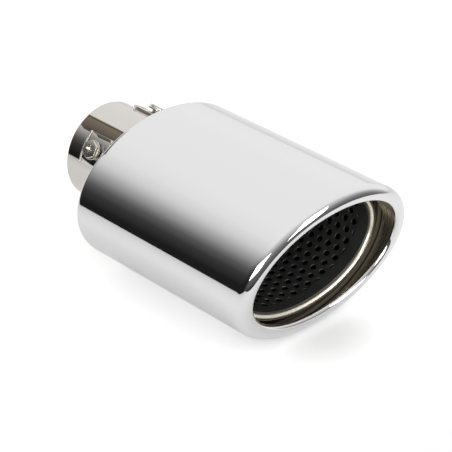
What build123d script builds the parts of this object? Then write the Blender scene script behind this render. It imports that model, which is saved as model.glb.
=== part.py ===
"""Oval exhaust tip with a slanted rolled mouth, a perforated insert and a screw-clamped inlet collar.

Millimetres, +Z up. The origin is the centre of the inlet mouth: the tailpipe enters
here along -Y, the exhaust leaves at the -Y end, and X is the long axis of the oval.
Depths are measured from the inlet mouth towards the outlet.
"""

import os
from math import cos, radians, sin

from build123d import *

# Oval body
OVAL_WIDTH = 130.0
OVAL_HEIGHT = 90.0
BODY_LENGTH = 137.0
MOUTH_SLANT = 11.0
SHEET = 1.2

# Rolled lip and turned-in rear edge
LIP_OUTER_RADIUS = 4.5
LIP_INNER_RADIUS = 3.0
LIP_DEPTH = 9.4
RETURN_SETBACK = 9.6
REAR_RADIUS = 3.4
REAR_FLANGE = 9.0

# Inlet collar and rear plate
COLLAR_DIAMETER = 61.0
COLLAR_WALL = 1.5
COLLAR_REACH = 49.0
COLLAR_OVERLAP = 11.0
PLATE_THICKNESS = 1.5
PLATE_INSET = 3.6
NECK_LENGTH = 8.0
NECK_WALL = 1.2
SLIP_GAP = 0.1

# Inner wall: bright ring, black band and perforated tube
INSERT_INSET = 12.9
INSERT_WALL = 0.8
RING_SETBACK = 17.7
RING_SLEEVE = 5.0
BEAD_RADIUS = 1.85
BAND_LENGTH = 7.7
HOLE_DIAMETER = 3.0
HOLE_SIDES = 6
HOLES_AROUND = 23
HOLE_PITCH = 6.75
HOLE_RINGS = 5

# Clamp pads and M6 clamp screws
CLAMP_ANGLES = (49.0, 147.0, 229.0, 327.0)
CLAMP_DEPTH = 22.4
PAD_WIDTH = 19.6
PAD_LENGTH = 18.0
PAD_THICKNESS = 1.9
PAD_CORNER = 2.0
THREAD_RADIUS = 3.0
THREAD_GAP = 0.05
SCREW_LIFT = 1.5
SCREW_TIP_RECESS = 0.3
SCREW_TIP_BEVEL = 0.6
FLANGE_RADIUS = 6.0
FLANGE_THICKNESS = 1.0
HEX_WIDTH = 10.0
HEX_HEIGHT = 1.9
RECESS_LENGTH = 5.4
RECESS_WIDTH = 1.3
RECESS_DEPTH = 1.7

# Sizes that follow from those above
half_width = OVAL_WIDTH / 2
half_height = OVAL_HEIGHT / 2
collar_radius = COLLAR_DIAMETER / 2
bore_radius = collar_radius - COLLAR_WALL
neck_radius = collar_radius + SLIP_GAP
mouth_depth = COLLAR_REACH + BODY_LENGTH
inside_depth = COLLAR_REACH + SHEET
plate_front = inside_depth + PLATE_THICKNESS
return_depth = mouth_depth - RETURN_SETBACK
ring_depth = mouth_depth - RING_SETBACK
tube_front = ring_depth - RING_SLEEVE
band_rear = ring_depth - BAND_LENGTH
bead_inset = INSERT_INSET - BEAD_RADIUS
pad_radius = collar_radius + PAD_THICKNESS
thread_hole_radius = THREAD_RADIUS + THREAD_GAP
tip_radius = bore_radius + SCREW_TIP_RECESS
flange_radial = pad_radius + SCREW_LIFT
hex_radial = flange_radial + FLANGE_THICKNESS
head_radial = hex_radial + HEX_HEIGHT
overshoot = OVAL_HEIGHT

# The mouth leans so that the top of the tip is its longer side.
lean = radians(MOUTH_SLANT)
mouth_plane = Plane(
    origin=(0, -mouth_depth, 0),
    x_dir=(1, 0, 0),
    z_dir=(0, -cos(lean), -sin(lean)),
)


def station(depth):
    """Sketch plane across the axis, facing the outlet."""
    return Plane.XZ.offset(depth)


def oval(inset, mode=Mode.ADD):
    """Oval of the body, made smaller by the same amount all round."""
    return Ellipse(half_width - inset, half_height - inset, mode=mode)


def clamp_plane(angle, radial):
    """Plane square to a clamp screw, at a distance from the axis."""
    outward = (cos(radians(angle)), 0, sin(radians(angle)))
    on_axis = Plane(origin=(0, -CLAMP_DEPTH, 0), x_dir=(0, 1, 0), z_dir=outward)
    return on_axis.offset(radial)


# Space inside the sheet: the hollow body and the fold behind the rolled lip
with BuildPart() as cavity:
    with BuildSketch(station(inside_depth)):
        oval(SHEET)
    extrude(amount=BODY_LENGTH + overshoot)
    split(bisect_by=mouth_plane.offset(-SHEET), keep=Keep.BOTTOM)
    fillet(cavity.faces().sort_by(Axis.Y)[0].edges(), LIP_OUTER_RADIUS - SHEET)
    fillet(cavity.faces().sort_by(Axis.Y)[-1].edges(), REAR_RADIUS - SHEET)
    with BuildSketch(station(return_depth)):
        oval(LIP_DEPTH - SHEET)
    extrude(amount=overshoot, mode=Mode.SUBTRACT)
    fold_face = cavity.faces().filter_by(GeomType.PLANE).sort_by(Axis.Y)[0]
    fillet(fold_face.inner_wires()[0].edges(), LIP_INNER_RADIUS - SHEET)

# Outer shell: one sheet, rolled in at the mouth and turned in at the rear
with BuildPart() as outer_shell:
    with BuildSketch(station(COLLAR_REACH)):
        oval(0)
    extrude(amount=BODY_LENGTH + overshoot)
    split(bisect_by=mouth_plane, keep=Keep.BOTTOM)
    fillet(outer_shell.faces().sort_by(Axis.Y)[0].edges(), LIP_OUTER_RADIUS)
    fillet(outer_shell.faces().sort_by(Axis.Y)[-1].edges(), REAR_RADIUS)
    add(cavity.part, mode=Mode.SUBTRACT)
    with BuildSketch(station(return_depth - SHEET)):
        oval(LIP_DEPTH)
    extrude(amount=overshoot, mode=Mode.SUBTRACT)
    lip_face = outer_shell.faces().filter_by(GeomType.PLANE).sort_by(Axis.Y)[0]
    fillet(lip_face.inner_wires()[0].edges(), LIP_INNER_RADIUS)
    with BuildSketch(station(COLLAR_REACH)):
        oval(REAR_FLANGE)
    extrude(amount=SHEET, mode=Mode.SUBTRACT)

# Rear plate with the plunged neck that holds the collar
with BuildPart() as rear_plate:
    with BuildSketch(station(inside_depth)):
        oval(PLATE_INSET)
    extrude(amount=PLATE_THICKNESS)
    with BuildSketch(station(plate_front)):
        Circle(neck_radius + NECK_WALL)
    extrude(amount=NECK_LENGTH)
    with BuildSketch(station(inside_depth)):
        Circle(neck_radius)
    extrude(amount=PLATE_THICKNESS + NECK_LENGTH, mode=Mode.SUBTRACT)

# Inlet collar, drilled for the clamp screws
with BuildPart() as inlet_collar:
    with BuildSketch(station(0)):
        Circle(collar_radius)
        Circle(bore_radius, mode=Mode.SUBTRACT)
    extrude(amount=COLLAR_REACH + COLLAR_OVERLAP)
    with BuildSketch(*[clamp_plane(angle, 0) for angle in CLAMP_ANGLES]):
        Circle(thread_hole_radius)
    extrude(amount=pad_radius, mode=Mode.SUBTRACT)

# Trim ring: a short sleeve whose front edge is rolled outwards into a bead
with BuildPart() as trim_ring:
    with BuildSketch(station(tube_front)):
        oval(INSERT_INSET - INSERT_WALL)
        oval(INSERT_INSET, mode=Mode.SUBTRACT)
    extrude(amount=RING_SLEEVE)
    with BuildLine(station(ring_depth)) as bead_path:
        EllipticalCenterArc((0, 0), half_width - bead_inset, half_height - bead_inset, arc_size=360)
    bead_wire = bead_path.wires()[0]
    with BuildSketch(Plane(origin=bead_wire @ 0, x_dir=(1, 0, 0), z_dir=bead_wire % 0)):
        Circle(BEAD_RADIUS)
        with Locations((0, BEAD_RADIUS)):
            Rectangle(2 * BEAD_RADIUS, 2 * BEAD_RADIUS, mode=Mode.SUBTRACT)
    sweep(path=bead_wire)

# Plain band inside the joint of ring and tube
with BuildPart() as insert_band:
    with BuildSketch(station(band_rear)):
        oval(INSERT_INSET)
        oval(INSERT_INSET + INSERT_WALL, mode=Mode.SUBTRACT)
    extrude(amount=BAND_LENGTH)

# Perforated insert tube: staggered rings of holes, each square to the oval wall
hole_path = Wire.make_ellipse(
    half_width - INSERT_INSET - INSERT_WALL,
    half_height - INSERT_INSET - INSERT_WALL,
)
hole_planes = []
for ring in range(HOLE_RINGS):
    hole_depth = band_rear - ring * HOLE_PITCH / 2
    stagger = 0.5 * (ring % 2)
    for index in range(HOLES_AROUND):
        share = (index + stagger) / HOLES_AROUND
        foot = hole_path.position_at(share)
        along = hole_path.tangent_at(share)
        hole_planes.append(
            Plane(
                origin=(foot.X, -hole_depth, foot.Y),
                x_dir=(0, 1, 0),
                z_dir=(along.Y, 0, -along.X),
            )
        )
with BuildPart() as insert_tube:
    with BuildSketch(station(plate_front)):
        oval(INSERT_INSET - INSERT_WALL)
        oval(INSERT_INSET, mode=Mode.SUBTRACT)
    extrude(amount=tube_front - plate_front)
    with BuildSketch(*hole_planes):
        RegularPolygon(HOLE_DIAMETER / 2, HOLE_SIDES)
    extrude(amount=3 * INSERT_WALL, mode=Mode.SUBTRACT, clean=False)

os.makedirs("parts", exist_ok=True)
for label, piece in {
    "outer_shell": outer_shell,
    "rear_plate": rear_plate,
    "inlet_collar": inlet_collar,
    "trim_ring": trim_ring,
    "insert_band": insert_band,
    "insert_tube": insert_tube,
}.items():
    piece.part.label = label
    export_step(piece.part, f"parts/{label}.step")

for number, angle in enumerate(CLAMP_ANGLES, start=1):
    # Clamp pad: a threaded plate that follows the collar
    with BuildPart() as clamp_pad:
        with BuildSketch(station(CLAMP_DEPTH - PAD_LENGTH / 2)):
            Circle(pad_radius)
            Circle(collar_radius, mode=Mode.SUBTRACT)
        extrude(amount=PAD_LENGTH)
        with BuildSketch(clamp_plane(angle, 0)):
            RectangleRounded(PAD_LENGTH, PAD_WIDTH, PAD_CORNER)
            Circle(thread_hole_radius, mode=Mode.SUBTRACT)
        extrude(amount=2 * pad_radius, mode=Mode.INTERSECT)
    clamp_pad.part.label = f"clamp_pad_{number}"
    export_step(clamp_pad.part, f"parts/clamp_pad_{number}.step")

    # Clamp screw: flanged hexagon head with a cross recess
    with BuildPart() as clamp_screw:
        with BuildSketch(clamp_plane(angle, tip_radius)):
            Circle(THREAD_RADIUS)
        extrude(amount=flange_radial - tip_radius)
        tip_edge = clamp_screw.edges().filter_by(GeomType.CIRCLE).sort_by_distance((0, -CLAMP_DEPTH, 0))[0]
        chamfer(tip_edge, SCREW_TIP_BEVEL)
        with BuildSketch(clamp_plane(angle, flange_radial)):
            Circle(FLANGE_RADIUS)
        extrude(amount=FLANGE_THICKNESS)
        with BuildSketch(clamp_plane(angle, hex_radial)):
            RegularPolygon(HEX_WIDTH / 2, 6, major_radius=False)
        extrude(amount=HEX_HEIGHT)
        with BuildSketch(clamp_plane(angle, head_radial)):
            Rectangle(RECESS_LENGTH, RECESS_WIDTH)
            Rectangle(RECESS_WIDTH, RECESS_LENGTH)
        extrude(amount=-RECESS_DEPTH, mode=Mode.SUBTRACT)
    clamp_screw.part.label = f"clamp_screw_{number}"
    export_step(clamp_screw.part, f"parts/clamp_screw_{number}.step")
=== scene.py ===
"""Looks of the oval exhaust tip: mirror-polished shell, perforated black insert, clamped inlet collar.

Metres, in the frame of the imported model: the tailpipe enters at the origin, the mouth faces -Y.
Depths are measured from the inlet mouth towards the outlet, insets from the shell's outer oval.
"""

import math
from bisect import bisect_left

import bmesh
import bpy
from mathutils import Matrix, Quaternion, Vector


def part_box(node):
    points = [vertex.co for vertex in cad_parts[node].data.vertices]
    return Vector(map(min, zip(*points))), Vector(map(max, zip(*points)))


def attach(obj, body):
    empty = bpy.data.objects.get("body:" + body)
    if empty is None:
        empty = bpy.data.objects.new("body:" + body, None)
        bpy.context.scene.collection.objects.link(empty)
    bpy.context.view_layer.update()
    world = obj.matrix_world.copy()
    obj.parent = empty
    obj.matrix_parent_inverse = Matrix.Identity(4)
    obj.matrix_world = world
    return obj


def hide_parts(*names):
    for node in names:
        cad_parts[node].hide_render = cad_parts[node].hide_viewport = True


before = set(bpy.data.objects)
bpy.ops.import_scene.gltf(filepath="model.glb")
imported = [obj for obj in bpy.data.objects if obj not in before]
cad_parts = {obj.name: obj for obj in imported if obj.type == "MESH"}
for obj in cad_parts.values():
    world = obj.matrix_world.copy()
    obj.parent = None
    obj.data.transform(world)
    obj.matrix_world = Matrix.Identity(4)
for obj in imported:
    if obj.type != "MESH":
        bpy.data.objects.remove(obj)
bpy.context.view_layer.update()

MM = 0.001
MERGE_DISTANCE = 0.01 * MM
SHARP_ANGLE = math.radians(35.0)

# Sheet, rolls and slant of the outer shell
SHEET = 1.2 * MM
MOUTH_DEPTH = 186.0 * MM
MOUTH_SLANT = math.radians(11.0)
LIP_OUTER_RADIUS = 6.2 * MM
LIP_INNER_RADIUS = 2.6 * MM
LIP_INSET = 9.8 * MM
RETURN_DEPTH = 176.4 * MM
REAR_RADIUS = 3.4 * MM
REAR_FLANGE = 9.0 * MM
REAR_MARGIN = 0.5 * MM
WALL_MARGIN = 0.6 * MM
WALL_STEPS = 16
SHELL_SEGMENTS = 256

# Painted shade: the inside of the shell's sheet turns dark between these depths, where little light gets
# in
SHADE_FRONT = 166.0 * MM
SHADE_REAR = 156.0 * MM

# Bright ring, black band and perforated tube
INSERT_INSET = 12.9 * MM
INSERT_WALL = 0.8 * MM
BEAD_RADIUS = 2.1 * MM
BEAD_CURL = 250.0
BEAD_FOOT = 0.9 * BEAD_RADIUS
BAND_EDGE = 0.15 * MM
INSERT_SEGMENTS = 192
HOLE_RADIUS = 1.8 * MM
HOLE_PITCH = 6.75 * MM
HOLE_COLUMNS = 46
HOLE_ROUNDING = 0.55 * MM
HOLE_RIM_ANGLE = math.radians(60.0)

# Collar, clamp pads and M6 screws
COLLAR_WALL = 1.5 * MM
COLLAR_EASE = 0.35 * MM
COLLAR_SEGMENTS = 192
CLAMP_ANGLES = (49.0, 147.0, 229.0, 327.0)
PAD_LENGTH = 18.0 * MM
PAD_WIDTH = 19.6 * MM
PAD_THICKNESS = 1.9 * MM
PAD_CORNER = 2.0 * MM
PAD_EASE = 0.1 * MM
PAD_CUTS = 14
WELD_RADIUS = 0.75 * MM
WELD_DROP_RADIUS = 1.0 * MM
WELD_SINK = WELD_RADIUS / 3
WELD_STEPS = 24
THREAD_RADIUS = 3.0 * MM
THREAD_HOLE_RADIUS = 3.05 * MM
THREAD_PITCH = 1.0 * MM
THREAD_DEPTH = 0.45 * MM
THREAD_STEPS = 8
THREAD_HOLE_SEGMENTS = 32
SHANK_SEGMENTS = 48
SCREW_LIFT = 1.5 * MM
SCREW_TIP_RECESS = 0.3 * MM
FLANGE_RADIUS = 6.0 * MM
FLANGE_THICKNESS = 1.0 * MM
FLANGE_EASE = 0.25 * MM
FLANGE_SEGMENTS = 64
HEX_WIDTH = 10.0 * MM
HEX_HEIGHT = 1.9 * MM
HEX_EASE = 0.3 * MM
RECESS_LENGTH = 5.4 * MM
RECESS_WIDTH = 1.3 * MM
RECESS_DEPTH = 1.7 * MM

# White sheet on the floor: its left and front edges, the painted shade that greys it towards them, and
# how far a glow of its own lifts it towards white, less where the lip touches it and less in the metal
FLOOR_LEFT = -310.0 * MM
FLOOR_FRONT = -292.0 * MM
FLOOR_REACH = 8.0
FLOOR_LEFT_FADE = -110.0 * MM
FLOOR_LEFT_SHADE = 0.66
FLOOR_FRONT_FADE = -120.0 * MM
FLOOR_FRONT_SHADE = 0.82
FLOOR_TOUCH = -182.0 * MM
FLOOR_LIFT_REACH = 60.0 * MM
FLOOR_NEAR_LIFT = 0.1
FLOOR_FAR_LIFT = 0.42
FLOOR_MIRROR_SHARE = 0.3

# Card that the collar mirrors: its edges, its height and its tones from left to right
CARD_LEFT = -56.0 * MM
CARD_RIGHT = -8.5 * MM
CARD_FRONT = -8.0 * MM
CARD_BACK = 60.0 * MM
CARD_HEIGHT = 80.0 * MM
CARD_TONES = (
    (0.0, "#4E4B49"),
    (0.45, "#7C736A"),
    (0.85, "#918678"),
    (0.93, "#5A4C3E"),
    (1.0, "#A89C8C"),
)

# Room: how bright it is by how far a direction leans up and to the right, behind the part and
# on the outlet's side, and how far along Y it points where one side passes into the other
ROOM_FRONT = -0.6
ROOM_BACK = -0.1
BACK_LEAN = (0.6, 0.0, 0.8)
BACK_LEVELS = (
    (-0.45, 0.0155),
    (-0.21, 0.05),
    (-0.054, 0.125),
    (0.03, 0.225),
    (0.188, 0.5),
    (0.337, 0.82),
    (0.496, 1.0),
    (0.65, 1.06),
)
FRONT_LEAN = (0.25, 0.0, 1.0)
FRONT_LEVELS = (
    (-0.5, 0.015),
    (-0.38, 0.11),
    (-0.05, 0.16),
    (0.17, 0.25),
    (0.4, 0.37),
    (0.55, 0.56),
    (0.7, 0.67),
    (0.9, 0.8),
    (1.0, 0.95),
)

# Camera, as fitted to the photograph
CAMERA_AZIMUTH = -44.01
CAMERA_ELEVATION = 30.35
CAMERA_TARGET = Vector((0, -119.0 * MM, 0))
CAMERA_DISTANCE = 1064.6 * MM
CAMERA_LENS = 149.9
CAMERA_SHIFT = (-0.0367, -0.0124)

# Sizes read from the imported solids
shell_low, shell_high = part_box("outer_shell")
half_width = shell_high.x
half_height = shell_high.z
rear_depth = -shell_high.y
floor_height = shell_low.z
collar_low, collar_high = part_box("inlet_collar")
collar_radius = collar_high.x
collar_end = -collar_low.y
tube_low, tube_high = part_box("insert_tube")
tube_rear = -tube_high.y
tube_front = -tube_low.y
band_low, band_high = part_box("insert_band")
band_rear = -band_high.y
ring_depth = -band_low.y
pad_low, pad_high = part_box("clamp_pad_1")
clamp_depth = -(pad_low.y + pad_high.y) / 2
bore_radius = collar_radius - COLLAR_WALL
pad_radius = collar_radius + PAD_THICKNESS


# Mesh helpers
def oval_matrix(inset, depth, slope=0.0):
    """Takes the unit circle in the XY plane to an oval across the axis, leaning by the slope."""
    wide = half_width - inset
    high = half_height - inset
    return Matrix((
        (wide, 0, 0, 0),
        (0, -slope * high, 1, -depth),
        (0, high, 0, 0),
        (0, 0, 0, 1),
    ))


def mouth_matrix(inset, back):
    """Takes the unit circle to an oval parallel to the slanted mouth, this far behind it."""
    wide = half_width - inset
    high = half_height / math.cos(MOUTH_SLANT) - inset
    along, rise = math.cos(MOUTH_SLANT), math.sin(MOUTH_SLANT)
    return Matrix((
        (wide, 0, 0, 0),
        (0, -high * rise, 1, along * back - MOUTH_DEPTH),
        (0, high * along, 0, rise * back),
        (0, 0, 0, 1),
    ))


def edges_of(geometry):
    return [item for item in geometry if isinstance(item, bmesh.types.BMEdge)]


def verts_of(geometry):
    return [item for item in geometry if isinstance(item, bmesh.types.BMVert)]


def faces_of(geometry):
    return [item for item in geometry if isinstance(item, bmesh.types.BMFace)]


def edges_between(geometry):
    """The edges that join two of the new corners, so those of the new ring."""
    ring = set(verts_of(geometry))
    return [edge for edge in edges_of(geometry) if ring.issuperset(edge.verts)]


def ringed_wall(places, segments, changes=()):
    """Closed wall: a circle goes to the first place and is extruded through the others.

    From each place named in changes on, the faces take the next material.
    """
    bm = bmesh.new()
    bmesh.ops.create_circle(bm, segments=segments, radius=1.0)
    bmesh.ops.transform(bm, matrix=places[0], verts=bm.verts[:])
    first = bm.edges[:]
    edges = first
    for index, (before, after) in enumerate(zip(places, places[1:])):
        made = bmesh.ops.extrude_edge_only(bm, edges=edges)["geom"]
        bmesh.ops.transform(bm, matrix=after @ before.inverted(), verts=verts_of(made))
        edges = edges_between(made)
        for face in faces_of(made):
            face.material_index = sum(index >= change for change in changes)
    bmesh.ops.bridge_loops(bm, edges=first + edges)
    bmesh.ops.recalc_face_normals(bm, faces=bm.faces[:])
    return bm


def arc(centre_inset, centre_depth, radius, start, end, steps):
    """Inset and depth along an arc of the section; 0 degrees points inwards, 90 towards the outlet."""
    angles = [math.radians(start + (end - start) * step / steps) for step in range(steps + 1)]
    return [(centre_inset + radius * math.cos(a), centre_depth + radius * math.sin(a)) for a in angles]


def finish_piece(bm, name, body, materials, replaced):
    """Turns the mesh into a piece that rides on its body in place of the CAD nodes."""
    mesh = bpy.data.meshes.new(name)
    bm.to_mesh(mesh)
    bm.free()
    piece = bpy.data.objects.new(name, mesh)
    bpy.context.scene.collection.objects.link(piece)
    mesh.shade_smooth()
    mesh.set_sharp_from_angle(angle=SHARP_ANGLE)
    for material in materials:
        mesh.materials.append(material)
    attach(piece, body)
    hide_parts(*replaced)


# Material helpers
def linear(hex_colour):
    """sRGB hex colour as linear red, green, blue and alpha."""
    channels = [int(hex_colour[place:place + 2], 16) / 255 for place in (1, 3, 5)]
    return [c / 12.92 if c <= 0.04045 else ((c + 0.055) / 1.055) ** 2.4 for c in channels] + [1.0]


def node(tree, kind, inputs=None, **settings):
    """Adds a node with its settings; an input is a value or another node's output."""
    added = tree.nodes.new(kind)
    for key, value in settings.items():
        setattr(added, key, value)
    for key, value in (inputs or {}).items():
        if isinstance(value, bpy.types.NodeSocket):
            tree.links.new(value, added.inputs[key])
        else:
            added.inputs[key].default_value = value
    return added


def new_material(name):
    material = bpy.data.materials.new(name)
    material.use_nodes = True
    material.node_tree.nodes.clear()
    return material, material.node_tree


def surface(tree, shader):
    node(tree, "ShaderNodeOutputMaterial", {"Surface": shader.outputs[0]})


def mirror_polished_stainless():
    """Buffed stainless sheet: a clear mirror, very faintly hazed by the last polishing strokes."""
    material, tree = new_material("mirror_polished_stainless")
    place = node(tree, "ShaderNodeTexCoord").outputs["Object"]
    stretch = node(tree, "ShaderNodeMapping", {"Vector": place, "Scale": (1.0, 0.12, 1.0)})
    strokes = node(
        tree, "ShaderNodeTexNoise",
        {"Vector": stretch.outputs["Vector"], "Scale": 1 / (1.5 * MM), "Detail": 3.0, "Roughness": 0.6},
    )
    haze = node(
        tree, "ShaderNodeMapRange",
        {
            "Value": strokes.outputs["Fac"], "From Min": 0.35, "From Max": 0.75,
            "To Min": 0.03, "To Max": 0.06,
        },
    )
    bump = node(
        tree, "ShaderNodeBump",
        {"Height": strokes.outputs["Fac"], "Strength": 0.02, "Distance": 0.02 * MM},
    )
    steel = node(
        tree, "ShaderNodeBsdfPrincipled",
        {
            "Base Color": linear("#DEDEDE"),
            "Metallic": 1.0,
            "Roughness": haze.outputs["Result"],
            "Normal": bump.outputs["Normal"],
        },
    )
    surface(tree, steel)
    return material


def drawn_stainless_tube():
    """Bright drawn stainless tube: reflections drawn out a little by fine lines along the tube."""
    material, tree = new_material("drawn_stainless_tube")
    place = node(tree, "ShaderNodeTexCoord").outputs["Object"]
    stretch = node(tree, "ShaderNodeMapping", {"Vector": place, "Scale": (1.0, 0.04, 1.0)})
    lines = node(
        tree, "ShaderNodeTexNoise",
        {"Vector": stretch.outputs["Vector"], "Scale": 1 / (0.5 * MM), "Detail": 4.0, "Roughness": 0.65},
    )
    haze = node(
        tree, "ShaderNodeMapRange",
        {"Value": lines.outputs["Fac"], "From Min": 0.3, "From Max": 0.7, "To Min": 0.04, "To Max": 0.09},
    )
    bump = node(
        tree, "ShaderNodeBump",
        {"Height": lines.outputs["Fac"], "Strength": 0.08, "Distance": 0.02 * MM},
    )
    steel = node(
        tree, "ShaderNodeBsdfPrincipled",
        {
            "Base Color": linear("#CFCCC7"),
            "Metallic": 1.0,
            "Roughness": haze.outputs["Result"],
            "Normal": bump.outputs["Normal"],
        },
    )
    surface(tree, steel)
    return material


def bright_screw_steel():
    """Cold-headed stainless screws: bright, with small dull flecks from tumbling."""
    material, tree = new_material("bright_screw_steel")
    place = node(tree, "ShaderNodeTexCoord").outputs["Object"]
    flecks = node(
        tree, "ShaderNodeTexNoise",
        {"Vector": place, "Scale": 1 / (0.6 * MM), "Detail": 4.0, "Roughness": 0.7},
    )
    haze = node(
        tree, "ShaderNodeMapRange",
        {
            "Value": flecks.outputs["Fac"], "From Min": 0.35, "From Max": 0.7,
            "To Min": 0.22, "To Max": 0.38,
        },
    )
    tint = node(
        tree, "ShaderNodeMix",
        {"Factor": flecks.outputs["Fac"], "A": linear("#E6E3DD"), "B": linear("#D2CEC4")},
        data_type="RGBA",
    )
    steel = node(
        tree, "ShaderNodeBsdfPrincipled",
        {"Base Color": tint.outputs["Result"], "Metallic": 1.0, "Roughness": haze.outputs["Result"]},
    )
    surface(tree, steel)
    return material


def mill_finish_stainless():
    """Rolled stainless plate as it leaves the mill: grey and satin, with fine rolling lines."""
    material, tree = new_material("mill_finish_stainless")
    place = node(tree, "ShaderNodeTexCoord").outputs["Object"]
    stretch = node(tree, "ShaderNodeMapping", {"Vector": place, "Scale": (0.03, 1.0, 1.0)})
    lines = node(
        tree, "ShaderNodeTexNoise",
        {"Vector": stretch.outputs["Vector"], "Scale": 1 / (0.4 * MM), "Detail": 4.0, "Roughness": 0.6},
    )
    haze = node(
        tree, "ShaderNodeMapRange",
        {"Value": lines.outputs["Fac"], "From Min": 0.3, "From Max": 0.7, "To Min": 0.22, "To Max": 0.38},
    )
    bump = node(
        tree, "ShaderNodeBump",
        {"Height": lines.outputs["Fac"], "Strength": 0.15, "Distance": 0.03 * MM},
    )
    steel = node(
        tree, "ShaderNodeBsdfPrincipled",
        {
            "Base Color": linear("#BDBAB5"),
            "Metallic": 1.0,
            "Roughness": haze.outputs["Result"],
            "Normal": bump.outputs["Normal"],
        },
    )
    surface(tree, steel)
    return material


def rolled_fold_steel():
    """Folded inner edge of the lip: straw-coloured steel with lines left by the rolling tool in its
    roughness; the light and dark stripes in its colour are painted reflection streaks.
    """
    material, tree = new_material("rolled_fold_steel")
    place = node(tree, "ShaderNodeTexCoord").outputs["Object"]
    mouth_way = (0, math.cos(MOUTH_SLANT), math.sin(MOUTH_SLANT))
    back = node(tree, "ShaderNodeVectorMath", {0: place, 1: mouth_way}, operation="DOT_PRODUCT")
    lines = node(
        tree, "ShaderNodeTexNoise",
        {"W": back.outputs["Value"], "Scale": 1 / (1.4 * MM), "Detail": 2.0, "Roughness": 0.6},
        noise_dimensions="1D",
    )
    painted_streaks = node(
        tree, "ShaderNodeMapRange",
        {"Value": lines.outputs["Fac"], "From Min": 0.35, "From Max": 0.65},
    )
    # Painted reflection streaks: the colour swings from dark straw to near white along the lines
    tint = node(
        tree, "ShaderNodeMix",
        {"Factor": painted_streaks.outputs["Result"], "A": linear("#9C8E72"), "B": linear("#FFF6E2")},
        data_type="RGBA",
    )
    haze = node(
        tree, "ShaderNodeMapRange",
        {"Value": lines.outputs["Fac"], "From Min": 0.3, "From Max": 0.7, "To Min": 0.4, "To Max": 0.22},
    )
    steel = node(
        tree, "ShaderNodeBsdfPrincipled",
        {"Base Color": tint.outputs["Result"], "Metallic": 1.0, "Roughness": haze.outputs["Result"]},
    )
    surface(tree, steel)
    return material


def unpolished_stainless():
    """Inside of the shell's sheet: dull straw-grey steel with rolling lines in its roughness, painted
    reflection streaks and painted shade further in.
    """
    material, tree = new_material("unpolished_stainless")
    place = node(tree, "ShaderNodeTexCoord").outputs["Object"]
    split = node(tree, "ShaderNodeSeparateXYZ", {"Vector": place})
    lines = node(
        tree, "ShaderNodeTexNoise",
        {"W": split.outputs["Y"], "Scale": 1 / (2.6 * MM), "Detail": 2.0, "Roughness": 0.6},
        noise_dimensions="1D",
    )
    # Painted reflection streaks: the colour swings from dark brown to pale straw along the depth
    painted_streaks = node(
        tree, "ShaderNodeMapRange",
        {"Value": lines.outputs["Fac"], "From Min": 0.35, "From Max": 0.65},
    )
    tint = node(
        tree, "ShaderNodeMix",
        {"Factor": painted_streaks.outputs["Result"], "A": linear("#302A23"), "B": linear("#DDD0B8")},
        data_type="RGBA",
    )
    # Painted shade: the colour falls to near black between the two shade depths, as little light gets
    # this far in
    inward = node(
        tree, "ShaderNodeMapRange",
        {"Value": split.outputs["Y"], "From Min": -SHADE_FRONT, "From Max": -SHADE_REAR},
    )
    painted_shade_inside = node(
        tree, "ShaderNodeMix",
        {"Factor": inward.outputs["Result"], "A": tint.outputs["Result"], "B": linear("#14110D")},
        data_type="RGBA",
    )
    haze = node(
        tree, "ShaderNodeMapRange",
        {"Value": lines.outputs["Fac"], "From Min": 0.3, "From Max": 0.7, "To Min": 0.34, "To Max": 0.46},
    )
    steel = node(
        tree, "ShaderNodeBsdfPrincipled",
        {"Base Color": painted_shade_inside.outputs["Result"], "Metallic": 0.55, "Roughness": haze.outputs["Result"]},
    )
    surface(tree, steel)
    return material


def black_heat_coating():
    """Stoved black coating on steel: satin, with the fine grain of sprayed heat paint."""
    material, tree = new_material("black_heat_coating")
    place = node(tree, "ShaderNodeTexCoord").outputs["Object"]
    grain = node(
        tree, "ShaderNodeTexNoise",
        {"Vector": place, "Scale": 1 / (0.35 * MM), "Detail": 3.0, "Roughness": 0.6},
    )
    clouds = node(
        tree, "ShaderNodeTexNoise",
        {"Vector": place, "Scale": 1 / (14.0 * MM), "Detail": 2.0},
    )
    tint = node(
        tree, "ShaderNodeMix",
        {"Factor": clouds.outputs["Fac"], "A": linear("#282828"), "B": linear("#343433")},
        data_type="RGBA",
    )
    haze = node(
        tree, "ShaderNodeMapRange",
        {"Value": clouds.outputs["Fac"], "From Min": 0.3, "From Max": 0.7, "To Min": 0.26, "To Max": 0.4},
    )
    bump = node(
        tree, "ShaderNodeBump",
        {"Height": grain.outputs["Fac"], "Strength": 0.25, "Distance": 0.05 * MM},
    )
    paint = node(
        tree, "ShaderNodeBsdfPrincipled",
        {
            "Base Color": tint.outputs["Result"],
            "Roughness": haze.outputs["Result"],
            "IOR": 1.5,
            "Normal": bump.outputs["Normal"],
        },
    )
    surface(tree, paint)
    return material


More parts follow.
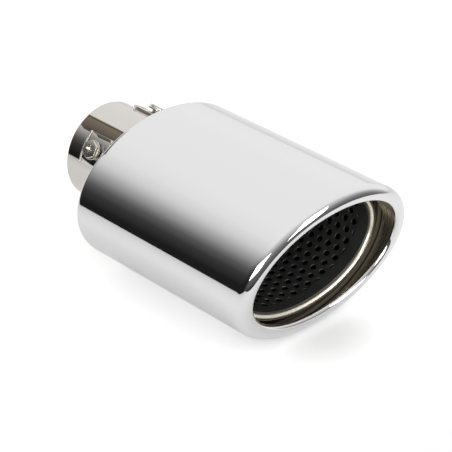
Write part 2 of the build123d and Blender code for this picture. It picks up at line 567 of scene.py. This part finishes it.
def satin_trim_steel():
    """Spun trim ring: stainless buffed to a soft, slightly warm sheen with fine lines round the ring."""
    material, tree = new_material("satin_trim_steel")
    place = node(tree, "ShaderNodeTexCoord").outputs["Object"]
    stretch = node(tree, "ShaderNodeMapping", {"Vector": place, "Scale": (0.05, 1.0, 0.05)})
    lines = node(
        tree, "ShaderNodeTexNoise",
        {"Vector": stretch.outputs["Vector"], "Scale": 1 / (0.5 * MM), "Detail": 3.0, "Roughness": 0.6},
    )
    tint = node(
        tree, "ShaderNodeMix",
        {"Factor": lines.outputs["Fac"], "A": linear("#F4EFE4"), "B": linear("#E2DBCB")},
        data_type="RGBA",
    )
    haze = node(
        tree, "ShaderNodeMapRange",
        {"Value": lines.outputs["Fac"], "From Min": 0.3, "From Max": 0.7, "To Min": 0.3, "To Max": 0.42},
    )
    steel = node(
        tree, "ShaderNodeBsdfPrincipled",
        {"Base Color": tint.outputs["Result"], "Metallic": 1.0, "Roughness": haze.outputs["Result"]},
    )
    surface(tree, steel)
    return material


polished = mirror_polished_stainless()
drawn = drawn_stainless_tube()
screw_steel = bright_screw_steel()
mill_finish = mill_finish_stainless()
black = black_heat_coating()
inside_steel = unpolished_stainless()
fold_steel = rolled_fold_steel()
trim_steel = satin_trim_steel()


# Outer shell: the section of the sheet runs round the outside, over the lip and back inside
def shell_places():
    slope = math.tan(MOUTH_SLANT)
    lip_centre = MOUTH_DEPTH - LIP_OUTER_RADIUS
    fold_inset = LIP_INSET - LIP_INNER_RADIUS
    rear_centre = rear_depth + REAR_RADIUS
    places = [oval_matrix(REAR_FLANGE, rear_depth)]
    places.append(oval_matrix(REAR_RADIUS + REAR_MARGIN, rear_depth))
    rear_roll = arc(REAR_RADIUS, rear_centre, REAR_RADIUS, -90, -180, steps=10)
    places += [oval_matrix(*at) for at in rear_roll]
    wall_start = rear_centre + WALL_MARGIN
    wall_end = lip_centre - WALL_MARGIN
    for step in range(WALL_STEPS + 1):
        share = step / WALL_STEPS
        places.append(oval_matrix(0.0, wall_start + (wall_end - wall_start) * share, slope * share))
    outer_roll = arc(LIP_OUTER_RADIUS, lip_centre, LIP_OUTER_RADIUS, 180, 90, steps=14)
    places += [oval_matrix(inset, depth, slope) for inset, depth in outer_roll]
    inner_roll = arc(fold_inset, -LIP_INNER_RADIUS, LIP_INNER_RADIUS, 90, 0, steps=12)
    places += [mouth_matrix(inset, -depth) for inset, depth in inner_roll]
    fold_from = len(places) - 1
    places.append(oval_matrix(LIP_INSET, RETURN_DEPTH))
    places.append(oval_matrix(LIP_INSET - SHEET, RETURN_DEPTH))
    inside_from = len(places) - 1
    fold = arc(fold_inset, -LIP_INNER_RADIUS, LIP_INNER_RADIUS - SHEET, 0, 90, steps=8)
    places += [mouth_matrix(inset, -depth) for inset, depth in fold]
    lip_inside = arc(LIP_OUTER_RADIUS, lip_centre, LIP_OUTER_RADIUS - SHEET, 90, 180, steps=8)
    places += [oval_matrix(inset, depth, slope) for inset, depth in lip_inside]
    rear_inside = arc(REAR_RADIUS, rear_centre, REAR_RADIUS - SHEET, -180, -90, steps=6)
    places += [oval_matrix(*at) for at in rear_inside]
    places.append(oval_matrix(REAR_FLANGE, rear_depth + SHEET))
    return places, (fold_from, inside_from)


shell_rings, shell_changes = shell_places()
shell_mesh = ringed_wall(shell_rings, SHELL_SEGMENTS, shell_changes)
shell_materials = [polished, fold_steel, inside_steel]
finish_piece(shell_mesh, "polished_shell", "tip", shell_materials, ["outer_shell"])


# Trim ring: the sleeve's front edge curls outwards into a bead
def ring_places():
    bead_inset = INSERT_INSET - BEAD_RADIUS
    places = [oval_matrix(INSERT_INSET, tube_front)]
    bead = arc(bead_inset, ring_depth, BEAD_RADIUS, 0, BEAD_CURL, steps=24)
    places += [oval_matrix(*at) for at in bead]
    places.append(oval_matrix(INSERT_INSET - INSERT_WALL, ring_depth - BEAD_FOOT))
    places.append(oval_matrix(INSERT_INSET - INSERT_WALL, tube_front))
    return places


ring_mesh = ringed_wall(ring_places(), INSERT_SEGMENTS)
finish_piece(ring_mesh, "bright_trim_ring", "tip", [trim_steel], ["trim_ring"])


# Black band with rounded edges
def band_places():
    inner = INSERT_INSET + INSERT_WALL
    section = [
        (INSERT_INSET, band_rear + BAND_EDGE),
        (INSERT_INSET + BAND_EDGE, band_rear),
        (inner - BAND_EDGE, band_rear),
        (inner, band_rear + BAND_EDGE),
        (inner, ring_depth - BAND_EDGE),
        (inner - BAND_EDGE, ring_depth),
        (INSERT_INSET + BAND_EDGE, ring_depth),
        (INSERT_INSET, ring_depth - BAND_EDGE),
    ]
    return [oval_matrix(*at) for at in section]


band_mesh = ringed_wall(band_places(), INSERT_SEGMENTS)
finish_piece(band_mesh, "black_band", "tip", [black], ["insert_band"])


# Perforated insert tube
class OvalPath:
    """Points along an oval by the length travelled from its +X end."""

    STEPS = 2000

    def __init__(self, inset):
        self.wide = half_width - inset
        self.high = half_height - inset
        self.lengths = [0.0]
        for step in range(self.STEPS):
            chord = self.at_angle(step + 1) - self.at_angle(step)
            self.lengths.append(self.lengths[-1] + chord.length)

    def at_angle(self, step):
        angle = 2 * math.pi * step / self.STEPS
        return Vector((self.wide * math.cos(angle), 0.0, self.high * math.sin(angle)))

    def length(self):
        return self.lengths[-1]

    def at_length(self, travelled):
        travelled %= self.length()
        place = max(bisect_left(self.lengths, travelled), 1)
        before, after = self.lengths[place - 1], self.lengths[place]
        return self.at_angle(place - 1 + (travelled - before) / (after - before))


def perforated_sheet(width, first_row, rear, front):
    """Flat sheet in XY, columns of holes along Y; every second column is half a pitch further."""
    column_width = width / HOLE_COLUMNS
    side = column_width / 2
    end = HOLE_PITCH / 2
    rim = [
        (side, 0), (side, end / 2), (side, end), (0, end), (-side, end), (-side, end / 2),
        (-side, 0), (-side, -end / 2), (-side, -end), (0, -end), (side, -end), (side, -end / 2),
    ]
    bm = bmesh.new()
    bmesh.ops.create_circle(bm, segments=len(rim), radius=HOLE_RADIUS)
    made = bmesh.ops.extrude_edge_only(bm, edges=bm.edges[:])["geom"]
    for vert in verts_of(made):
        turn = math.atan2(vert.co.y, vert.co.x) / (2 * math.pi) * len(rim)
        x, y = rim[round(turn) % len(rim)]
        vert.co = (x, y, 0)
    cell = bm.verts[:] + bm.edges[:] + bm.faces[:]
    rows = math.ceil((front - rear) / HOLE_PITCH) + 2
    for column in range(HOLE_COLUMNS):
        for row in range(rows):
            if column == 0 and row == 0:
                continue
            shift = Vector((column * column_width, -(row + 0.5 * (column % 2)) * HOLE_PITCH, 0))
            copy = bmesh.ops.duplicate(bm, geom=cell)["geom"]
            bmesh.ops.translate(bm, vec=shift, verts=verts_of(copy))
    bmesh.ops.translate(bm, vec=(0, first_row, 0), verts=bm.verts[:])
    bmesh.ops.remove_doubles(bm, verts=bm.verts[:], dist=MERGE_DISTANCE)
    for cut, outward in ((front, 1), (rear, -1)):
        everything = bm.verts[:] + bm.edges[:] + bm.faces[:]
        bmesh.ops.bisect_plane(
            bm, geom=everything, dist=0.0,
            plane_co=(0, cut, 0), plane_no=(0, outward, 0), clear_outer=True,
        )
    return bm


def perforated_tube():
    path = OvalPath(INSERT_INSET)
    bm = perforated_sheet(path.length(), band_rear, tube_rear, tube_front)
    for vert in bm.verts:
        point = path.at_length(vert.co.x)
        vert.co = (point.x, -vert.co.y, point.z)
    bmesh.ops.remove_doubles(bm, verts=bm.verts[:], dist=MERGE_DISTANCE)
    bmesh.ops.recalc_face_normals(bm, faces=bm.faces[:])
    bmesh.ops.solidify(bm, geom=bm.verts[:] + bm.edges[:] + bm.faces[:], thickness=-INSERT_WALL)
    bmesh.ops.recalc_face_normals(bm, faces=bm.faces[:])
    wide = half_width - INSERT_INSET + INSERT_WALL / 2
    high = half_height - INSERT_INSET + INSERT_WALL / 2
    rims = [
        edge for edge in bm.edges
        if edge.calc_face_angle() > HOLE_RIM_ANGLE
        and all((vert.co.x / wide) ** 2 + (vert.co.z / high) ** 2 < 1 for vert in edge.verts)
    ]
    bmesh.ops.bevel(
        bm, geom=rims, offset=HOLE_ROUNDING, segments=3, profile=0.5, affect="EDGES", material=-1
    )
    return bm


finish_piece(perforated_tube(), "perforated_tube", "tip", [black], ["insert_tube"])


# Inlet collar with eased edges
def round_matrix(radius, depth):
    """Takes the unit circle in the XY plane to a circle across the axis."""
    return Matrix(((radius, 0, 0, 0), (0, 0, 1, -depth), (0, radius, 0, 0), (0, 0, 0, 1)))


def collar_places():
    section = [
        (bore_radius, COLLAR_EASE),
        (bore_radius + COLLAR_EASE, 0.0),
        (collar_radius - COLLAR_EASE, 0.0),
        (collar_radius - COLLAR_EASE / 3, COLLAR_EASE / 3),
        (collar_radius, COLLAR_EASE),
        (collar_radius, 2 * COLLAR_EASE),
        (collar_radius, collar_end / 2),
        (collar_radius, collar_end - COLLAR_EASE),
        (collar_radius - COLLAR_EASE, collar_end),
        (bore_radius + COLLAR_EASE, collar_end),
        (bore_radius, collar_end - COLLAR_EASE),
        (bore_radius, collar_end / 2),
    ]
    return [round_matrix(*at) for at in section]


def clamp_matrix(angle, radial):
    """Takes local Z to a clamp screw's outward direction and local X to the part's +Y."""
    turn = math.radians(angle)
    outward = Vector((math.cos(turn), 0, math.sin(turn)))
    along = Vector((0, 1, 0))
    across = outward.cross(along)
    matrix = Matrix((along, across, outward)).transposed().to_4x4()
    matrix.translation = Vector((0, -clamp_depth, 0)) + outward * radial
    return matrix


def drill(bm, angles):
    """Cuts the thread holes for the clamp screws at these angles."""
    for angle in angles:
        cutter = bmesh.new()
        bmesh.ops.create_cone(
            cutter, cap_ends=True, segments=THREAD_HOLE_SEGMENTS,
            radius1=THREAD_HOLE_RADIUS, radius2=THREAD_HOLE_RADIUS,
            depth=pad_radius, matrix=clamp_matrix(angle, pad_radius),
        )
        bm = subtracted(bm, cutter)
    return bm


def subtracted(bm, cutter):
    """The mesh without the cutter's space."""
    objects = []
    for part in (bm, cutter):
        mesh = bpy.data.meshes.new("cut")
        part.to_mesh(mesh)
        part.free()
        objects.append(bpy.data.objects.new("cut", mesh))
        bpy.context.scene.collection.objects.link(objects[-1])
    cut = objects[0].modifiers.new("cut", "BOOLEAN")
    cut.object = objects[1]
    cut.operation = "DIFFERENCE"
    cut.solver = "EXACT"
    evaluated = objects[0].evaluated_get(bpy.context.evaluated_depsgraph_get())
    result = bmesh.new()
    result.from_mesh(evaluated.to_mesh())
    for used in objects:
        bpy.data.objects.remove(used)
    return result


collar_mesh = drill(ringed_wall(collar_places(), COLLAR_SEGMENTS), CLAMP_ANGLES)
finish_piece(collar_mesh, "drawn_collar", "tip", [drawn], ["inlet_collar"])


# Clamp pads: curved plates with rounded corners and eased top edges
def pad_mesh(angle):
    bm = bmesh.new()
    bmesh.ops.create_cube(bm, size=1.0)
    bmesh.ops.scale(bm, vec=(PAD_LENGTH, PAD_WIDTH, PAD_THICKNESS), verts=bm.verts[:])
    bmesh.ops.translate(bm, vec=(0, 0, PAD_THICKNESS / 2), verts=bm.verts[:])
    upright = [
        edge for edge in bm.edges
        if abs(edge.verts[0].co.z - edge.verts[1].co.z) > PAD_THICKNESS / 2
    ]
    bmesh.ops.bevel(
        bm, geom=upright, offset=PAD_CORNER, segments=6, profile=0.5, affect="EDGES", material=-1
    )
    top = [
        edge for edge in bm.edges
        if all(vert.co.z > PAD_THICKNESS / 2 for vert in edge.verts)
    ]
    bmesh.ops.bevel(bm, geom=top, offset=PAD_EASE, segments=2, profile=0.5, affect="EDGES", material=-1)
    for cut in range(1, PAD_CUTS):
        everything = bm.verts[:] + bm.edges[:] + bm.faces[:]
        across = -PAD_WIDTH / 2 + PAD_WIDTH * cut / PAD_CUTS
        bmesh.ops.bisect_plane(bm, geom=everything, dist=0.0, plane_co=(0, across, 0), plane_no=(0, 1, 0))
    for vert in bm.verts:
        vert.co.z = math.sqrt((collar_radius + vert.co.z) ** 2 - vert.co.y ** 2)
    bmesh.ops.transform(bm, matrix=clamp_matrix(angle, 0.0), verts=bm.verts[:])
    bmesh.ops.recalc_face_normals(bm, faces=bm.faces[:])
    return drill(bm, [angle])


def weld_mesh(angle):
    """Welds along the pad's two curved edges: rows of drops, the largest at the ends."""
    bm = bmesh.new()
    reach = math.asin(PAD_WIDTH / 2 / pad_radius) - math.asin(WELD_RADIUS / pad_radius)
    height = pad_radius - WELD_SINK
    for along in (-1, 1):
        for step in range(WELD_STEPS + 1):
            turn = reach * (2 * step / WELD_STEPS - 1)
            radius = WELD_DROP_RADIUS if step in (0, WELD_STEPS) else WELD_RADIUS
            drop = bmesh.ops.create_icosphere(bm, subdivisions=3, radius=radius)["verts"]
            spot = Vector((along * PAD_LENGTH / 2, height * math.sin(turn), height * math.cos(turn)))
            bmesh.ops.translate(bm, vec=spot, verts=drop)
    bmesh.ops.transform(bm, matrix=clamp_matrix(angle, 0.0), verts=bm.verts[:])
    return bm


for number, angle in enumerate(CLAMP_ANGLES, start=1):
    finish_piece(weld_mesh(angle), f"pad_weld_{number}", "tip", [screw_steel], [])
    finish_piece(
        pad_mesh(angle), f"pressed_pad_{number}", "tip", [drawn], [f"clamp_pad_{number}"]
    )


# Clamp screws: threaded shank, flange and hexagon with a cross recess, built along local Z
def turned(section, segments, place):
    """Closed turned solid: a disc is extruded through the stations, given as radius and height."""
    bm = bmesh.new()
    radius, height = section[0]
    bmesh.ops.create_circle(bm, segments=segments, radius=radius, cap_ends=True)
    bmesh.ops.translate(bm, vec=(0, 0, height), verts=bm.verts[:])
    edges = bm.edges[:]
    for before, after in zip(section, section[1:]):
        made = bmesh.ops.extrude_edge_only(bm, edges=edges)["geom"]
        ring = verts_of(made)
        wider = after[0] / before[0]
        bmesh.ops.scale(bm, vec=(wider, wider, 1), verts=ring)
        bmesh.ops.translate(bm, vec=(0, 0, after[1] - before[1]), verts=ring)
        edges = edges_between(made)
    bmesh.ops.contextual_create(bm, geom=edges)
    bmesh.ops.recalc_face_normals(bm, faces=bm.faces[:])
    bmesh.ops.transform(bm, matrix=place, verts=bm.verts[:])
    return bm


def shank_mesh(angle):
    """Threaded shank: the rings of a cylinder are drawn in along the helix."""
    tip = bore_radius + SCREW_TIP_RECESS
    length = pad_radius + SCREW_LIFT - tip
    rings = round(length / THREAD_PITCH * THREAD_STEPS)
    section = [(THREAD_RADIUS, length * ring / rings) for ring in range(rings + 1)]
    bm = turned(section, SHANK_SEGMENTS, Matrix())
    for vert in bm.verts:
        turn = math.atan2(vert.co.y, vert.co.x) / (2 * math.pi)
        phase = (vert.co.z / THREAD_PITCH - turn) % 1.0
        groove = THREAD_DEPTH * (1 - abs(2 * phase - 1))
        point = THREAD_DEPTH * max(0.0, 1 - vert.co.z / THREAD_PITCH)
        narrower = 1 - (groove + point) / THREAD_RADIUS
        vert.co.x *= narrower
        vert.co.y *= narrower
    bmesh.ops.transform(bm, matrix=clamp_matrix(angle, tip), verts=bm.verts[:])
    return bm


def flange_section():
    return [
        (THREAD_RADIUS - THREAD_DEPTH, 0.0),
        (FLANGE_RADIUS - FLANGE_EASE, 0.0),
        (FLANGE_RADIUS - FLANGE_EASE / 3, FLANGE_EASE / 3),
        (FLANGE_RADIUS, FLANGE_EASE),
        (FLANGE_RADIUS, FLANGE_THICKNESS - FLANGE_EASE),
        (FLANGE_RADIUS - FLANGE_EASE / 3, FLANGE_THICKNESS - FLANGE_EASE / 3),
        (FLANGE_RADIUS - FLANGE_EASE, FLANGE_THICKNESS),
    ]


def hexagon_mesh(angle):
    """Hexagon with eased edges and a cross recess in its top."""
    bm = bmesh.new()
    corner = HEX_WIDTH / 2 / math.cos(math.pi / 6)
    bmesh.ops.create_cone(
        bm, cap_ends=True, segments=6, radius1=corner, radius2=corner, depth=HEX_HEIGHT,
        matrix=Matrix.Translation((0, 0, HEX_HEIGHT / 2)),
    )
    bmesh.ops.bevel(
        bm, geom=bm.edges[:], offset=HEX_EASE, segments=3, profile=0.5, affect="EDGES", material=-1
    )
    for width, length in ((RECESS_LENGTH, RECESS_WIDTH), (RECESS_WIDTH, RECESS_LENGTH)):
        cutter = bmesh.new()
        bmesh.ops.create_cube(cutter, size=1.0)
        bmesh.ops.scale(cutter, vec=(width, length, 2 * RECESS_DEPTH), verts=cutter.verts[:])
        bmesh.ops.translate(cutter, vec=(0, 0, HEX_HEIGHT), verts=cutter.verts[:])
        bm = subtracted(bm, cutter)
    foot = pad_radius + SCREW_LIFT + FLANGE_THICKNESS
    bmesh.ops.transform(bm, matrix=clamp_matrix(angle, foot), verts=bm.verts[:])
    return bm


for number, angle in enumerate(CLAMP_ANGLES, start=1):
    body = f"screw_{number}"
    node_name = f"clamp_screw_{number}"
    seat = clamp_matrix(angle, pad_radius + SCREW_LIFT)
    shank = shank_mesh(angle)
    flange = turned(flange_section(), FLANGE_SEGMENTS, seat)
    finish_piece(shank, f"screw_shank_{number}", body, [screw_steel], [node_name])
    finish_piece(flange, f"screw_flange_{number}", body, [screw_steel], [])
    finish_piece(hexagon_mesh(angle), f"screw_hexagon_{number}", body, [screw_steel], [])

# The rear plate keeps its CAD shape and takes the mill finish
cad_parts["rear_plate"].data.materials.clear()
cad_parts["rear_plate"].data.materials.append(mill_finish)


# Stage: white sheet on the floor, studio round it
def white_sheet():
    """Floor: white paper greyed by painted shade towards its left and front edges, with a faint glow that
    keeps it white to the eye; it keeps the shadow.
    """
    material, tree = new_material("white_sheet")
    place = node(tree, "ShaderNodeTexCoord").outputs["Object"]
    split = node(tree, "ShaderNodeSeparateXYZ", {"Vector": place})
    # Painted shade: the paper's colour falls towards its left and front edges, where less light reaches
    leftward = node(
        tree, "ShaderNodeMapRange",
        {
            "Value": split.outputs["X"], "From Min": FLOOR_LEFT,
            "From Max": FLOOR_LEFT_FADE, "To Min": FLOOR_LEFT_SHADE,
        },
    )
    forward = node(
        tree, "ShaderNodeMapRange",
        {
            "Value": split.outputs["Y"], "From Min": FLOOR_FRONT,
            "From Max": FLOOR_FRONT_FADE, "To Min": FLOOR_FRONT_SHADE,
        },
    )
    shade = node(
        tree, "ShaderNodeMath",
        {0: leftward.outputs["Result"], 1: forward.outputs["Result"]},
        operation="MULTIPLY",
    )
    tone = node(
        tree, "ShaderNodeMix",
        {"Factor": shade.outputs[0], "A": (0, 0, 0, 1), "B": linear("#F2F2F2")},
        data_type="RGBA",
    )
    paper = node(tree, "ShaderNodeBsdfDiffuse", {"Color": tone.outputs["Result"]})
    path = node(tree, "ShaderNodeLightPath")
    direct = node(
        tree, "ShaderNodeMath",
        {0: path.outputs["Is Camera Ray"], 1: path.outputs["Is Transmission Ray"]},
        operation="MAXIMUM",
    )
    seen = node(
        tree, "ShaderNodeMath",
        {0: path.outputs["Is Glossy Ray"], 1: FLOOR_MIRROR_SHARE, 2: direct.outputs[0]},
        operation="MULTIPLY_ADD",
    )
    away = node(
        tree, "ShaderNodeVectorMath",
        {0: place, 1: (0, FLOOR_TOUCH, floor_height)},
        operation="DISTANCE",
    )
    growth = node(
        tree, "ShaderNodeMapRange",
        {
            "Value": away.outputs["Value"], "From Max": FLOOR_LIFT_REACH,
            "To Min": FLOOR_NEAR_LIFT, "To Max": FLOOR_FAR_LIFT,
        },
        interpolation_type="SMOOTHSTEP",
    )
    lift = node(
        tree, "ShaderNodeMath",
        {0: seen.outputs[0], 1: growth.outputs["Result"]},
        operation="MULTIPLY",
    )
    glow = node(tree, "ShaderNodeEmission", {"Color": (1, 1, 1, 1), "Strength": lift.outputs[0]})
    both = node(tree, "ShaderNodeAddShader", {0: paper.outputs[0], 1: glow.outputs[0]})
    surface(tree, both)
    return material


def studio_floor():
    bm = bmesh.new()
    bmesh.ops.create_grid(bm, x_segments=1, y_segments=1, size=FLOOR_REACH / 2)
    middle = Vector((FLOOR_LEFT + FLOOR_REACH / 2, FLOOR_FRONT + FLOOR_REACH / 2, floor_height))
    bmesh.ops.translate(bm, vec=middle, verts=bm.verts[:])
    mesh = bpy.data.meshes.new("studio_floor")
    bm.to_mesh(mesh)
    bm.free()
    floor = bpy.data.objects.new("studio_floor", mesh)
    bpy.context.scene.collection.objects.link(floor)
    mesh.materials.append(white_sheet())


def brown_card():
    """Card above the inlet for reflections alone: it gives the polished collar its brown band."""
    material, tree = new_material("brown_card")
    place = node(tree, "ShaderNodeTexCoord").outputs["Object"]
    split = node(tree, "ShaderNodeSeparateXYZ", {"Vector": place})
    share = node(
        tree, "ShaderNodeMapRange",
        {"Value": split.outputs["X"], "From Min": CARD_LEFT, "From Max": CARD_RIGHT},
    )
    tone = node(tree, "ShaderNodeValToRGB", {"Fac": share.outputs["Result"]})
    stops = tone.color_ramp.elements
    for position, _ in CARD_TONES[1:-1]:
        stops.new(position)
    for stop, (_, colour) in zip(stops, CARD_TONES):
        stop.color = linear(colour)
    board = node(tree, "ShaderNodeEmission", {"Color": tone.outputs["Color"], "Strength": 1.0})
    clear = node(tree, "ShaderNodeBsdfTransparent")
    path = node(tree, "ShaderNodeLightPath")
    mirrored = node(
        tree, "ShaderNodeMixShader",
        {0: path.outputs["Is Glossy Ray"], 1: clear.outputs[0], 2: board.outputs[0]},
    )
    surface(tree, mirrored)
    bm = bmesh.new()
    bmesh.ops.create_grid(bm, x_segments=1, y_segments=1, size=0.5)
    bmesh.ops.scale(bm, vec=(CARD_RIGHT - CARD_LEFT, CARD_BACK - CARD_FRONT, 1), verts=bm.verts[:])
    middle = Vector(((CARD_LEFT + CARD_RIGHT) / 2, (CARD_FRONT + CARD_BACK) / 2, CARD_HEIGHT))
    bmesh.ops.translate(bm, vec=middle, verts=bm.verts[:])
    mesh = bpy.data.meshes.new("brown_card")
    bm.to_mesh(mesh)
    bm.free()
    card = bpy.data.objects.new("brown_card", mesh)
    bpy.context.scene.collection.objects.link(card)
    mesh.materials.append(material)


def direction(azimuth, elevation):
    """Unit vector: azimuth 0 is the outlet's side, 90 the part's +X side."""
    turn, rise = math.radians(azimuth), math.radians(elevation)
    return Vector((math.sin(turn) * math.cos(rise), -math.cos(turn) * math.cos(rise), math.sin(rise)))


def soft_box(name, azimuth, elevation, distance, width, height, lean, power):
    """Area lamp that faces the mouth from this direction, its top leaning to the right."""
    data = bpy.data.lights.new(name, "AREA")
    data.shape = "RECTANGLE"
    data.size = width
    data.size_y = height
    data.energy = power
    lamp = bpy.data.objects.new(name, data)
    bpy.context.scene.collection.objects.link(lamp)
    outward = direction(azimuth, elevation)
    lamp.location = Vector((0, -MOUTH_DEPTH, 0)) + outward * distance
    turn = outward.to_track_quat("Z", "Y") @ Quaternion((0, 0, 1), math.radians(-lean))
    lamp.rotation_euler = turn.to_euler()


def room_level(tree, way, lean, levels):
    """Brightness of the room by how far a direction leans the given way."""
    reach = node(tree, "ShaderNodeVectorMath", {0: way, 1: lean}, operation="DOT_PRODUCT")
    low, high = levels[0][0], levels[-1][0]
    share = node(
        tree, "ShaderNodeMapRange",
        {"Value": reach.outputs["Value"], "From Min": low, "From Max": high},
    )
    ramp = node(tree, "ShaderNodeValToRGB", {"Fac": share.outputs["Result"]})
    elements = ramp.color_ramp.elements
    for position, _ in levels[1:-1]:
        elements.new((position - low) / (high - low))
    for element, (_, grey) in zip(elements, levels):
        element.color = (grey, grey, grey, 1)
    return ramp.outputs["Color"]


def studio_world():
    """White above and behind the part, falling to dark at the left and on the camera's side.

    The camera itself sees plain white all round.
    """
    world = bpy.data.worlds.new("studio")
    bpy.context.scene.world = world
    world.use_nodes = True
    tree = world.node_tree
    tree.nodes.clear()
    way = node(tree, "ShaderNodeTexCoord").outputs["Generated"]
    split = node(tree, "ShaderNodeSeparateXYZ", {"Vector": way})
    side = node(
        tree, "ShaderNodeMapRange",
        {"Value": split.outputs["Y"], "From Min": ROOM_FRONT, "From Max": ROOM_BACK},
        interpolation_type="SMOOTHSTEP",
    )
    studio = node(
        tree, "ShaderNodeMix",
        {
            "Factor": side.outputs["Result"],
            "A": room_level(tree, way, FRONT_LEAN, FRONT_LEVELS),
            "B": room_level(tree, way, BACK_LEAN, BACK_LEVELS),
        },
        data_type="RGBA",
    )
    path = node(tree, "ShaderNodeLightPath")
    shown = node(
        tree, "ShaderNodeMath",
        {0: path.outputs["Is Camera Ray"], 1: path.outputs["Is Transmission Ray"]},
        operation="MAXIMUM",
    )
    backdrop = node(
        tree, "ShaderNodeMix",
        {"Factor": shown.outputs[0], "A": studio.outputs["Result"], "B": (1, 1, 1, 1)},
        data_type="RGBA",
    )
    light = node(tree, "ShaderNodeBackground", {"Color": backdrop.outputs["Result"], "Strength": 1.0})
    node(tree, "ShaderNodeOutputWorld", {"Surface": light.outputs[0]})


studio_floor()
brown_card()
studio_world()
soft_box(
    "box_by_camera", azimuth=-52.8, elevation=22.5, distance=1.3,
    width=0.91, height=0.62, lean=0.0, power=9.0,
)
soft_box(
    "strip_at_right", azimuth=19.3, elevation=21.3, distance=0.5,
    width=0.19, height=0.33, lean=12.0, power=1.1,
)


# Camera at the photograph's viewing angle
def photo_camera():
    back = direction(CAMERA_AZIMUTH, CAMERA_ELEVATION)
    right = Vector((0, 0, 1)).cross(back).normalized()
    up = back.cross(right)
    data = bpy.data.cameras.new("photo_camera")
    camera = bpy.data.objects.new("photo_camera", data)
    bpy.context.scene.collection.objects.link(camera)
    matrix = Matrix((right, up, back)).transposed().to_4x4()
    matrix.translation = CAMERA_TARGET + back * CAMERA_DISTANCE
    camera.matrix_world = matrix
    data.sensor_width = 36.0
    data.lens = CAMERA_LENS
    data.shift_x, data.shift_y = CAMERA_SHIFT
    data.clip_end = 100.0
    bpy.context.scene.camera = camera


photo_camera()
bpy.context.scene.view_settings.view_transform = "Standard"
